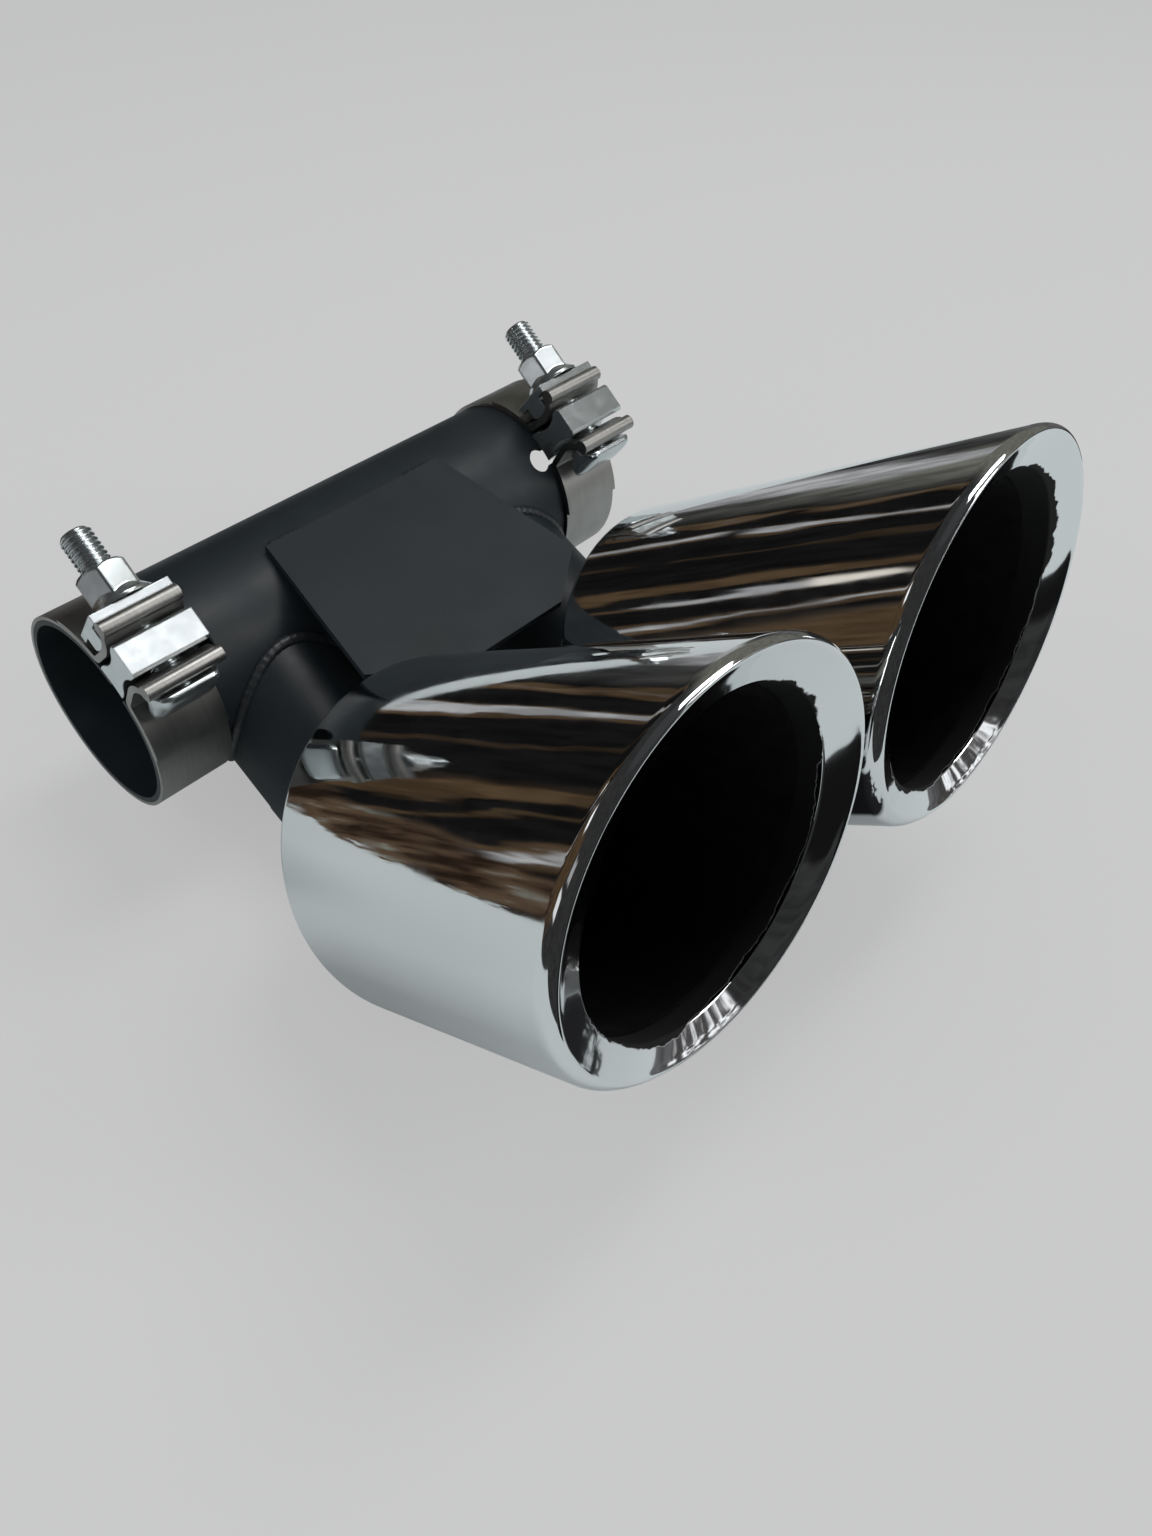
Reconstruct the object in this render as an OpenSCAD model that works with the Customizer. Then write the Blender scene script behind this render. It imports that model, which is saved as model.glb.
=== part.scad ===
// Twin exhaust tip: a cross tube with a band clamp on each end, two bent branch pipes, a flat gusset
// plate and two slash cut tips with rolled lips. Millimetres. The origin is the middle of the cross
// tube on its axis, X runs along the tube, the tips point to -Y and up, +Z is up as the part rests.

/* [Cross tube] */
// Outside diameter of the cross tube
tube_dia = 63.5; // [60:0.5:68]
// Wall of the cross tube
tube_wall = 1.6; // [1.2:0.1:2.5]
// Length of the cross tube over both ends
tube_length = 200.6; // [196:0.2:236]
// Width of the relief slot in each end of the tube
slot_width = 5.8; // [3:0.2:7]
// Diameter of the round end of the relief slot
slot_hole_dia = 8.5; // [7.5:0.5:11]
// Angle of the relief slot, up from the forward direction of the tube
slot_angle = 11.5; // [8:0.5:14]

/* [Band clamps] */
// Width of the clamp band along the tube
band_width = 25; // [20:0.5:30]
// Thickness of one layer of the band
band_thick = 1.2; // [0.8:0.1:1.5]
// Angle of the block of the left clamp, up from the forward direction of the tube
left_clamp_angle = 17; // [0:1:25]
// Angle of the block of the right clamp, up from the forward direction of the tube
right_clamp_angle = 18; // [0:1:25]
// Height of the bolt over the outside of the cross tube
bolt_rise = 10.4; // [9.8:0.1:12]
// Diameter of the clamp bolt
bolt_dia = 10; // [8:0.5:10.5]
// Length of bolt above the middle of the clamp block
bolt_reach = 39.6; // [34:0.2:46]
// Width of the hexagon nut across its flats
nut_flats = 15; // [13:0.5:17]
// Height of the nut with its flange
nut_height = 11.8; // [8:0.2:13]
// Diameter of the flange of the nut
flange_dia = 20; // [19.5:0.5:24]
// Length of the bolt head along the tube
head_length = 20; // [16:0.5:22]

/* [Branch pipes] */
// Outside diameter of each branch pipe
branch_dia = 50.8; // [44:0.4:51]
// Wall of each branch pipe
branch_wall = 1.6; // [1.2:0.1:2.5]
// Radius of the bend of each branch pipe on its middle line
bend_radius = 45; // [36:1:50]
// Angle at which each branch pipe drops from the cross tube
drop_angle = 60; // [55:1:64]
// Sideways slant of each branch pipe
branch_splay = 3.6; // [3.3:0.1:4.2]

/* [Tips] */
// Sideways place of the rear of each tip
tip_offset = 53.3; // [53.3:0.1:55]
// Distance of the rear of each tip in front of the cross tube
tip_forward = 81.1; // [79:0.1:86]
// Drop of each tip below the cross tube
tip_drop = 69; // [68:0.2:72]
// Diameter of each tip at its rear
tip_rear_dia = 105.2; // [100:0.2:106]
// Width of each tip at its front
tip_front_width = 108; // [104:0.5:109]
// Height of each tip at its front
tip_front_height = 101; // [97:0.5:106]
// Length of each tip on its middle line
tip_length = 117.4; // [108:0.2:140]
// Slant of the cut front of each tip
slash_angle = 27.5; // [15:0.5:30]
// Outward splay of each tip
tip_splay = 1.4; // [1.2:0.1:3]
// Sheet thickness of each tip
tip_wall = 1.2; // [1:0.1:1.6]
// Outside diameter of the inner sleeve of each tip
sleeve_dia = 82; // [76:0.5:84]
// Wall of the inner sleeve
sleeve_wall = 1.5; // [1.2:0.1:2]
// Depth of the rolled front lip
lip_depth = 6; // [5:0.5:8]

/* [Gusset plate] */
// Thickness of the gusset plate
plate_thick = 2.5; // [2:0.1:3.5]
// Slope of the gusset plate below the tips' direction
plate_slope = 48; // [46:1:50]
// Width of the plate on the cross tube
plate_width = 72; // [64:1:80]
// Width of the plate at its widest
plate_spread = 90; // [84:1:94]
// Length of the plate to its widest place
plate_reach = 57; // [52:1:60]
// Length of the plate to its front edge
plate_length = 72; // [66:0.5:73]
// Width of the front edge of the plate
plate_nose = 48; // [40:1:60]

/* [Hidden] */
$fn = 96;
fit_gap = 0.1;
over = 1;
rim_round = 2.5;
bolt_clearance = 0.4;
weld_size = 2.4;
sleeve_set_back = 8;
lip_return = 12;
cone_length = 24;
collar_length = 12;
collar_wall = 2.4;
stub_in = 12;
tab_angle = 30;
band_open_angle = 16.5;
ear_fillet = 2.4;
ear_lean = 8;
ear_dip = 9;
ear_flare = 40;
ear_flare_length = 3;
ear_roll = 2.4;
ear_tail = 1.3;
ear_lead = 0.3;
block_waist = 3.1;
block_hollow = 12;
block_hollow_half = 6.2;
block_foot = 5.2;
block_foot_rise = 1.7;
block_sink = 0.7;
block_half = 5.2;
block_out = 9.1;
block_chamfer = 0.9;
seat_angle = 34;
saddle_half = 8;
saddle_plate = 2.5;
head_half = 8;
head_slab = 4;
head_chamfer = 1.8;
head_rise = 0.1;
leg_step = 0.2;
leg_overlap = 3;
flange_thick = 2.4;
nut_cone = 1.6;
left_nut_turn = 11;
right_nut_turn = -10;
end_chamfer = 1.2;
ring_steps = 72;
roll_steps = 9;
wall_steps = 3;
tube_r = tube_dia / 2;
bore_r = tube_r - tube_wall;
tube_half = tube_length / 2;
bolt_offset = tube_r + bolt_rise;
branch_r = branch_dia / 2;
sleeve_r = sleeve_dia / 2;
rear_r = tip_rear_dia / 2;
front_a = tip_front_width / 2;
front_b = tip_front_height / 2;
lip_hole_r = sleeve_r + fit_gap;
slash_rise = tan(slash_angle);
slot_depth = band_width + 2;

// middle line of the bent branch pipe in its own upright plane
run_y = tip_forward / cos(branch_splay);
bend_tangent = bend_radius * tan(drop_angle / 2);
bend_y = run_y - tip_drop / tan(drop_angle) - bend_tangent;
leg_y = bend_y + bend_radius * sin(drop_angle);
leg_z = bend_radius * (1 - cos(drop_angle));
leg_length = tip_drop / sin(drop_angle) - bend_tangent;

// angle at which the elbows and the rear rims of the tips stand on one flat surface
elbow_y = -tip_forward + bend_y * cos(branch_splay);
elbow_z = -tip_drop + bend_radius;
elbow_r = bend_radius + branch_r;
rim_y = -tip_forward - rim_round;
rim_z = -tip_drop - rear_r + rim_round;
rest_y = elbow_y - rim_y;
rest_z = elbow_z - rim_z;
rest_span = sqrt(rest_y * rest_y + rest_z * rest_z);
rest_tilt = atan2(rest_z, rest_y) - asin((elbow_r - rim_round) / rest_span);

// path of the folded ear of the band: r outward from the tube, t along the bolt
ear_mid_r = tube_r + fit_gap + band_thick;
ear_a0 = band_open_angle - 90;
ear_x0 = ear_mid_r * cos(band_open_angle) + ear_lead * cos(ear_a0);
ear_y0 = ear_mid_r * sin(band_open_angle) + ear_lead * sin(ear_a0);
ear_x1 = ear_x0 + ear_fillet * (sin(-ear_lean) - sin(ear_a0));
ear_y1 = ear_y0 + ear_fillet * (cos(ear_a0) - cos(ear_lean));
dip_run = bolt_offset - ear_dip * sin(ear_lean) - ear_x1;
dip_t = ear_y1 + ear_dip * cos(ear_lean) - tan(ear_lean) * dip_run;
flare_x = bolt_offset + ear_dip * sin(ear_flare);
flare_y = dip_t - ear_dip * cos(ear_flare);
roll_x = flare_x + ear_flare_length * cos(ear_flare);
roll_y = flare_y + ear_flare_length * sin(ear_flare);
ear_half = band_thick - fit_gap;
seat_r = ear_dip - ear_half - fit_gap;
plate_base = roll_y + ear_roll + head_rise;
saddle_top = plate_base + saddle_plate;
block_mid = bolt_offset - block_sink;

module rest() {
    rotate([-rest_tilt, 0, 0])
        children();
}

module along_x(length, radius) {
    rotate([0, 90, 0])
        cylinder(h = length, r = radius, center = true);
}

// relief slot through the wall of the tube at one end, with a round inner end
module relief_slot(side) {
    rotate([-slot_angle, 0, 0])
        translate([side * tube_half, -tube_r, 0]) {
            translate([-side * slot_depth / 2, 0, 0])
                cube([slot_depth + 2 * over, tube_r, slot_width], center = true);
            translate([-side * (slot_depth + over), 0, 0])
                rotate([90, 0, 0])
                    cylinder(h = tube_r, d = slot_hole_dia, center = true);
        }
}

module tip_place(side) {
    translate([side * tip_offset, -tip_forward, -tip_drop])
        rotate([0, 0, side * tip_splay])
            rotate([90, 0, 0])
                children();
}

module branch_place(side) {
    translate([side * tip_offset, -tip_forward, -tip_drop])
        rotate([0, 0, side * branch_splay])
            children();
}

// upper straight part of the pipe, a touch smaller so that it slips into the end of the bend
module branch_leg(radius) {
    translate([0, leg_y, leg_z])
        rotate([drop_angle - 90, 0, 0])
            translate([0, 0, -leg_overlap])
                cylinder(h = leg_length + leg_overlap, r = radius - leg_step);
}

// bent pipe as a solid of one radius, from inside the tip up to the axis of the cross tube
module branch_solid(radius, extra) {
    translate([0, -stub_in - extra, 0])
        rotate([-90, 0, 0])
            cylinder(h = stub_in + extra + bend_y, r = radius);
    translate([0, bend_y, bend_radius])
        rotate([0, 90, 0])
            rotate_extrude(angle = drop_angle)
                translate([bend_radius, 0])
                    circle(r = radius);
    branch_leg(radius);
}

module inlet_tube() {
    color([0.2, 0.21, 0.22])
        rest()
            difference() {
                along_x(tube_length, tube_r);
                along_x(tube_length + 2 * over, bore_r);
                relief_slot(-1);
                relief_slot(1);
                branch_place(-1)
                    branch_leg(branch_r - branch_wall);
                branch_place(1)
                    branch_leg(branch_r - branch_wall);
            }
}

module branch_pipe(side) {
    color([0.19, 0.2, 0.21])
        rest()
            difference() {
                branch_place(side)
                    branch_solid(branch_r, 0);
                branch_place(side)
                    branch_solid(branch_r - branch_wall, over);
                along_x(tube_length, tube_r + fit_gap);
            }
}

// fillet of weld where a branch pipe meets the cross tube
module branch_weld(side) {
    color([0.16, 0.17, 0.18])
        rest()
            difference() {
                intersection() {
                    along_x(tube_length - 2 * band_width - 2 * over, tube_r + weld_size);
                    branch_place(side)
                        branch_leg(branch_r + weld_size / 2);
                }
                along_x(tube_length, tube_r + fit_gap);
                branch_place(side)
                    branch_solid(branch_r + fit_gap, 0);
            }
}

module gusset_plate() {
    color([0.22, 0.23, 0.24])
        rest()
            rotate([plate_slope, 0, 0])
                translate([0, 0, tube_r + fit_gap])
                    linear_extrude(height = plate_thick)
                        polygon([
                            [-plate_width / 2, 0],
                            [-plate_spread / 2, -plate_reach],
                            [-plate_nose / 2, -plate_length],
                            [plate_nose / 2, -plate_length],
                            [plate_spread / 2, -plate_reach],
                            [plate_width / 2, 0]
                        ]);
}

// one section of the sheet of a tip at an angle around it, from the rear flange out, over the rolled
// lip, into the mouth and back inside the sheet
function on_plane(p, back) = [p[0], p[1], tip_length + slash_rise * p[1] - back];
function blend(p, q, f) = [p[0] + (q[0] - p[0]) * f, p[1] + (q[1] - p[1]) * f, p[2] + (q[2] - p[2]) * f];
function ring_at(a, r, t) = [r * cos(a), r * sin(a), t];
function lip_at(a, g, inset) =
    let(
        ra = front_a - inset,
        rb = front_b - inset,
        h = lip_hole_r + inset,
        mx = (ra + h) / 2 + (ra - h) / 2 * cos(g),
        my = (rb + h) / 2 + (rb - h) / 2 * cos(g)
    )
    on_plane([mx * cos(a), my * sin(a)], lip_depth - (lip_depth - inset) * sin(g));
function tip_section(a) = concat(
    [ring_at(a, lip_hole_r, 0)],
    [for (g = [0:30:90]) ring_at(a, rear_r - rim_round * (1 - sin(g)), rim_round * (1 - cos(g)))],
    [for (i = [1:wall_steps - 1]) blend(ring_at(a, rear_r, rim_round), lip_at(a, 0, 0), i / wall_steps)],
    [for (i = [0:roll_steps]) lip_at(a, 180 * i / roll_steps, 0)],
    [on_plane([lip_hole_r * cos(a), lip_hole_r * sin(a)], lip_depth + lip_return)],
    [on_plane([(lip_hole_r + tip_wall) * cos(a), (lip_hole_r + tip_wall) * sin(a)], lip_depth + lip_return)],
    [for (i = [roll_steps:-1:0]) lip_at(a, 180 * i / roll_steps, tip_wall)],
    [for (g = [90:-30:0])
        ring_at(a, rear_r - rim_round + (rim_round - tip_wall) * sin(g),
            rim_round - (rim_round - tip_wall) * cos(g))],
    [ring_at(a, lip_hole_r, tip_wall)]
);

module tip_shell(side) {
    color([0.8, 0.81, 0.82])
        rest()
            tip_place(side) {
                count = len(tip_section(0));
                polyhedron(
                    points = [for (k = [0:ring_steps - 1]) each tip_section(360 * k / ring_steps)],
                    faces = [for (k = [0:ring_steps - 1]) for (j = [0:count - 1])
                        let(kn = (k + 1) % ring_steps, jn = (j + 1) % count)
                        each [
                            [k * count + j, k * count + jn, kn * count + jn],
                            [k * count + j, kn * count + jn, kn * count + j]
                        ]],
                    convexity = 6
                );
            }
}

// black inner sleeve with a cone that narrows to a collar on the branch pipe
module sleeve_solid(radius, neck) {
    reach = tip_length + slash_rise * sleeve_r + over;
    translate([0, 0, cone_length])
        cylinder(h = reach - cone_length, r = radius);
    translate([0, 0, collar_length])
        cylinder(h = cone_length - collar_length, r1 = neck, r2 = radius);
}

module tip_sleeve(side) {
    color([0.06, 0.06, 0.065])
        rest()
            difference() {
                tip_place(side)
                    difference() {
                        union() {
                            sleeve_solid(sleeve_r, branch_r + collar_wall);
                            cylinder(h = collar_length, r = branch_r + collar_wall);
                            cylinder(h = tip_wall, r = sleeve_r);
                        }
                        sleeve_solid(sleeve_r - sleeve_wall, branch_r - 2 * branch_wall);
                        translate([0, 0, tip_length - lip_depth - sleeve_set_back])
                            rotate([slash_angle, 0, 0])
                                translate([-tip_front_width, -tip_front_width, 0])
                                    cube([2 * tip_front_width, 2 * tip_front_width, tip_front_width]);
                    }
                branch_place(side)
                    branch_solid(branch_r + fit_gap, over);
            }
}

// clamp frame: -Y points out of the tube at the block and +Z to the nut
module clamp_place(side) {
    translate([side * (tube_half - band_width / 2), 0, 0])
        rotate([side < 0 ? -left_clamp_angle : -right_clamp_angle, 0, 0])
            children();
}

// a flat outline in (r, t) drawn out along the tube
module drawn(width) {
    rotate([90, 0, -90])
        linear_extrude(height = width, center = true)
            children();
}

function ear_path() = concat(
    [[ear_x0 - ear_tail * cos(ear_a0), ear_y0 - ear_tail * sin(ear_a0), ear_a0]],
    [for (i = [0:4])
        let(a = ear_a0 + (-ear_lean - ear_a0) * i / 4)
        [ear_x0 + ear_fillet * (sin(a) - sin(ear_a0)), ear_y0 + ear_fillet * (cos(ear_a0) - cos(a)), a]],
    [for (i = [0:8])
        let(a = -ear_lean + (ear_flare + ear_lean) * i / 8)
        [bolt_offset + ear_dip * sin(a), dip_t - ear_dip * cos(a), a]],
    [[roll_x, roll_y, ear_flare]]
);

module ear_outline() {
    path = ear_path();
    last = len(path) - 1;
    polygon(concat(
        [for (i = [0:last]) [path[i][0] + ear_half * sin(path[i][2]), path[i][1] - ear_half * cos(path[i][2])]],
        [for (i = [last:-1:0]) [path[i][0] - ear_half * sin(path[i][2]), path[i][1] + ear_half * cos(path[i][2])]]
    ));
}

module ear() {
    drawn(band_width)
        ear_outline();
    translate([0, -roll_x, roll_y])
        along_x(band_width, ear_roll);
}

// wedge that opens toward the block, as wide as an angle on each side
module opening(angle) {
    reach = 2 * tube_dia;
    drawn(band_width + 2 * over)
        polygon([[0, 0], [reach * cos(angle), reach * sin(angle)], [reach * cos(angle), -reach * sin(angle)]]);
}

module bolt_hole(extra) {
    translate([0, -bolt_offset, 0])
        cylinder(h = 4 * tube_dia, d = bolt_dia + extra, center = true);
}

module clamp_band(side) {
    color([0.62, 0.62, 0.61])
        rest()
            clamp_place(side)
                difference() {
                    union() {
                        difference() {
                            along_x(band_width, tube_r + fit_gap + band_thick);
                            opening(band_open_angle);
                        }
                        difference() {
                            intersection() {
                                along_x(band_width, tube_r + fit_gap + 2 * band_thick);
                                opening(band_open_angle + tab_angle);
                            }
                            opening(band_open_angle);
                        }
                        ear();
                        mirror([0, 0, 1])
                            ear();
                    }
                    along_x(band_width + 2 * over, tube_r + fit_gap);
                    bolt_hole(bolt_clearance);
                }
}

function seat_point(a) = [bolt_offset + seat_r * sin(a), dip_t - seat_r * cos(a)];
function block_point(u) =
    [block_mid + u, block_waist + block_hollow - sqrt(block_hollow * block_hollow - u * u)];

module spacer_block(side) {
    top = bolt_offset + block_out;
    half = concat(
        [[tube_r - over, block_foot], [tube_r + block_foot_rise, block_foot]],
        [for (i = [-6:6]) block_point(block_hollow_half * i / 6)],
        [[top - block_chamfer, block_half], [top, block_half - block_chamfer]]
    );
    last = len(half) - 1;
    color([0.7, 0.71, 0.72])
        rest()
            clamp_place(side)
                difference() {
                    drawn(band_width)
                        polygon(concat(half, [for (i = [last:-1:0]) [half[i][0], -half[i][1]]]));
                    along_x(band_width + 2 * over, tube_r + fit_gap);
                    bolt_hole(bolt_clearance);
                }
}

module clamp_saddle(side) {
    color([0.74, 0.74, 0.73])
        rest()
            clamp_place(side)
                difference() {
                    drawn(band_width)
                        polygon(concat(
                            [for (i = [-6:6]) seat_point(seat_angle * i / 6)],
                            [
                                [bolt_offset + seat_r * sin(seat_angle), plate_base],
                                [bolt_offset + saddle_half, plate_base],
                                [bolt_offset + saddle_half, saddle_top],
                                [bolt_offset - saddle_half, saddle_top],
                                [bolt_offset - saddle_half, plate_base],
                                [bolt_offset - seat_r * sin(seat_angle), plate_base]
                            ]
                        ));
                    bolt_hole(bolt_clearance);
                    along_x(band_width + 2 * over, tube_r + 2 * band_thick + 2 * fit_gap);
                }
}

module tee_bolt(side) {
    color([0.72, 0.73, 0.74])
        rest()
            clamp_place(side)
                difference() {
                    union() {
                        translate([0, -bolt_offset, -plate_base - head_slab / 2]) {
                            cylinder(h = plate_base + head_slab / 2 + bolt_reach - end_chamfer, d = bolt_dia);
                            translate([0, 0, plate_base + head_slab / 2 + bolt_reach - end_chamfer])
                                cylinder(h = end_chamfer, d1 = bolt_dia, d2 = bolt_dia - 2 * end_chamfer);
                        }
                        drawn(head_length)
                            mirror([0, 1])
                                polygon(concat(
                                    [for (i = [-6:6]) seat_point(seat_angle * i / 6)],
                                    [
                                        [bolt_offset + seat_r * sin(seat_angle), plate_base],
                                        [bolt_offset + head_half, plate_base + head_chamfer / 2],
                                        [bolt_offset + head_half, plate_base + head_slab - head_chamfer],
                                        [bolt_offset + head_half - head_chamfer, plate_base + head_slab],
                                        [bolt_offset - head_half + head_chamfer, plate_base + head_slab],
                                        [bolt_offset - head_half, plate_base + head_slab - head_chamfer],
                                        [bolt_offset - head_half, plate_base + head_chamfer / 2],
                                        [bolt_offset - seat_r * sin(seat_angle), plate_base]
                                    ]
                                ));
                    }
                    along_x(band_width + 2 * over, tube_r + 2 * band_thick + 2 * fit_gap);
                }
}

module flange_nut(side) {
    turn = side < 0 ? left_nut_turn : right_nut_turn;
    color([0.73, 0.74, 0.75])
        rest()
            clamp_place(side)
                translate([0, -bolt_offset, saddle_top + fit_gap])
                    rotate([0, 0, turn])
                        difference() {
                            union() {
                                cylinder(h = flange_thick / 2, d = flange_dia);
                                translate([0, 0, flange_thick / 2])
                                    cylinder(h = flange_thick, d1 = flange_dia, d2 = nut_flats);
                                intersection() {
                                    cylinder(h = nut_height, d = nut_flats / cos(30), $fn = 6);
                                    union() {
                                        cylinder(h = nut_height - nut_cone, d = nut_flats / cos(30));
                                        translate([0, 0, nut_height - nut_cone])
                                            cylinder(h = nut_cone, d1 = nut_flats / cos(30),
                                                d2 = nut_flats - nut_cone);
                                    }
                                }
                            }
                            translate([0, 0, -over])
                                cylinder(h = nut_height + 2 * over, d = bolt_dia + 2 * fit_gap);
                        }
}

inlet_tube();
branch_pipe(-1);  // left_branch_pipe
branch_pipe(1);  // right_branch_pipe
branch_weld(-1);  // left_branch_weld
branch_weld(1);  // right_branch_weld
gusset_plate();
tip_shell(-1);  // left_tip_shell
tip_shell(1);  // right_tip_shell
tip_sleeve(-1);  // left_tip_sleeve
tip_sleeve(1);  // right_tip_sleeve
clamp_band(-1);  // left_clamp_band
clamp_band(1);  // right_clamp_band
spacer_block(-1);  // left_spacer_block
spacer_block(1);  // right_spacer_block
clamp_saddle(-1);  // left_clamp_saddle
clamp_saddle(1);  // right_clamp_saddle
tee_bolt(-1);  // left_tee_bolt
tee_bolt(1);  // right_tee_bolt
flange_nut(-1);  // left_flange_nut
flange_nut(1);  // right_flange_nut
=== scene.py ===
import bpy
import bmesh
import math
from mathutils import Matrix, Vector


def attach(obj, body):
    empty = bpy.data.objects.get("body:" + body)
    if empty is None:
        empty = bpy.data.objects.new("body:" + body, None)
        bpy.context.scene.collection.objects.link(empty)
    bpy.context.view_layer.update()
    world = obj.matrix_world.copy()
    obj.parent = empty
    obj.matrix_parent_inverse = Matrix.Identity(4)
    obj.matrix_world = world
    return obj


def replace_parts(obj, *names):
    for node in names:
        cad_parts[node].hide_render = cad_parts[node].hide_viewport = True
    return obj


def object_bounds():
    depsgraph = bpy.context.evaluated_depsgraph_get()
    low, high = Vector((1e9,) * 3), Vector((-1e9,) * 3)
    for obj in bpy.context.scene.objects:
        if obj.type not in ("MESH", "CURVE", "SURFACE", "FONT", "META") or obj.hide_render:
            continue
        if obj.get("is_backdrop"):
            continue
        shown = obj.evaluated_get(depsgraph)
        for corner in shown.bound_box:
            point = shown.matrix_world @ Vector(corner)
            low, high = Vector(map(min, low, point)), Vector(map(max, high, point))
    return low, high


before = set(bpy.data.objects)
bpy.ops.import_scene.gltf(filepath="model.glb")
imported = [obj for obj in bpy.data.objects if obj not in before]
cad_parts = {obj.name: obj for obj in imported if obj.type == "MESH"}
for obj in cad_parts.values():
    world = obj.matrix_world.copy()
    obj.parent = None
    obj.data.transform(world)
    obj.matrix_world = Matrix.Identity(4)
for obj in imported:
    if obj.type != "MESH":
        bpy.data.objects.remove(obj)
cad_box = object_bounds()
scene = bpy.context.scene

# sizes shared with the solids, in millimetres
MM = 0.001
TUBE_R, TUBE_HALF, BAND_WIDTH = 31.75, 100.3, 25.0
BOLT_OFFSET, BOLT_R, BOLT_REACH, PITCH = 42.15, 5.0, 39.5, 1.5
CLAMP_ANGLE = {-1: 17.0, 1: 18.0}
TIP_OFFSET, TIP_FORWARD, TIP_DROP, TIP_SPLAY = 53.3, 81.1, 69.0, 1.4
REAR_R, FRONT_A, FRONT_B, TIP_LENGTH = 52.6, 54.0, 50.5, 117.4
SLASH_RISE, LIP_DEPTH, LIP_RETURN = math.tan(math.radians(27.5)), 6.0, 12.0
HOLE_R, RIM, TIP_FIT = 41.1, 2.5, 0.9988
NUT_FLATS, NUT_HEIGHT, FLANGE_R, NUT_CONE = 15.0, 11.8, 10.0, 1.6
NUT_TURN = {-1: 11.0, 1: -10.0}
HEAD_LENGTH, HEAD_ROUND, HEAD_SEAT = 20.0, 3.2, 4.4
THREAD_DEPTH, THREAD_START = 0.86, 1.5
BRANCH_R, BRANCH_SPLAY, BEND_R, DROP_ANGLE = 25.4, 3.6, 45.0, 60.0
PLATE_SLOPE, PLATE_HALF = 48.0, 36.0
# the lip's roll: its angle at the crest, and the share of the lip's points that it takes
CREST_ANGLE, ROLL_SHARE = 54, 0.45


def rest_tilt():
    run = TIP_FORWARD / math.cos(math.radians(BRANCH_SPLAY))
    tangent = BEND_R * math.tan(math.radians(DROP_ANGLE / 2))
    bend_y = run - TIP_DROP / math.tan(math.radians(DROP_ANGLE)) - tangent
    dy = bend_y * math.cos(math.radians(BRANCH_SPLAY)) + RIM
    dz = BEND_R + REAR_R - RIM
    return math.atan2(dz, dy) - math.asin((BEND_R + BRANCH_R - RIM) / math.hypot(dy, dz))


TILT = rest_tilt()


def turn_x(p, angle):
    c, s = math.cos(angle), math.sin(angle)
    return Vector((p[0], p[1] * c - p[2] * s, p[1] * s + p[2] * c))


def rest(p):
    return turn_x(p, -TILT) * MM


# ---------------------------------------------------------------- materials
def material(name, color, rough, metal=0.0):
    m = bpy.data.materials.new(name)
    m.use_nodes = True
    b = m.node_tree.nodes["Principled BSDF"]
    b.inputs["Base Color"].default_value = (*color, 1)
    b.inputs["Roughness"].default_value = rough
    b.inputs["Metallic"].default_value = metal
    return m


def node(m, kind, **values):
    n = m.node_tree.nodes.new(kind)
    for key, value in values.items():
        if key in n.inputs:
            n.inputs[key].default_value = value
        else:
            setattr(n, key, value)
    return n


def link(m, a, b):
    m.node_tree.links.new(a, b)


def calc(tree, kind, *values):
    """A math node of a node tree; numbers and outputs may be given."""
    n = tree.nodes.new("ShaderNodeMath")
    n.operation = kind
    for k, v in enumerate(values):
        if isinstance(v, (int, float)):
            n.inputs[k].default_value = v
        else:
            tree.links.new(v, n.inputs[k])
    return n.outputs[0]


def noise(m, scale, detail=3.0, rough=0.5, stretch=None):
    where = node(m, "ShaderNodeTexCoord")
    n = node(m, "ShaderNodeTexNoise")
    n.inputs["Scale"].default_value = scale
    n.inputs["Detail"].default_value = detail
    n.inputs["Roughness"].default_value = rough
    if stretch:
        place = node(m, "ShaderNodeMapping")
        place.inputs["Scale"].default_value = stretch
        link(m, where.outputs["Object"], place.inputs["Vector"])
        link(m, place.outputs["Vector"], n.inputs["Vector"])
    else:
        link(m, where.outputs["Object"], n.inputs["Vector"])
    return n.outputs["Fac"]


def spread(m, value, lo, hi, start=0.3, end=0.7):
    r = node(m, "ShaderNodeMapRange")
    r.inputs["From Min"].default_value = start
    r.inputs["From Max"].default_value = end
    r.inputs["To Min"].default_value = lo
    r.inputs["To Max"].default_value = hi
    link(m, value, r.inputs["Value"])
    return r.outputs["Result"]


def tint(m, value, low, high):
    mix = node(m, "ShaderNodeMix", data_type="RGBA")
    mix.inputs["A"].default_value = (*low, 1)
    mix.inputs["B"].default_value = (*high, 1)
    link(m, value, mix.inputs["Factor"])
    return mix.outputs["Result"]


def colour_by(m, value, low, high):
    base = m.node_tree.nodes["Principled BSDF"].inputs["Base Color"]
    link(m, tint(m, value, low, high), base)


def rough_by(m, value):
    link(m, value, m.node_tree.nodes["Principled BSDF"].inputs["Roughness"])


def bump(m, value, strength, distance, after=None):
    b = node(m, "ShaderNodeBump")
    b.inputs["Strength"].default_value = strength
    b.inputs["Distance"].default_value = distance
    link(m, value, b.inputs["Height"])
    if after is not None:
        link(m, after, b.inputs["Normal"])
    link(m, b.outputs["Normal"], m.node_tree.nodes["Principled BSDF"].inputs["Normal"])
    return b.outputs["Normal"]


def soft_edges(m, radius):
    b = node(m, "ShaderNodeBevel")
    b.samples = 4
    b.inputs["Radius"].default_value = radius
    return b.outputs["Normal"]


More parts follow.
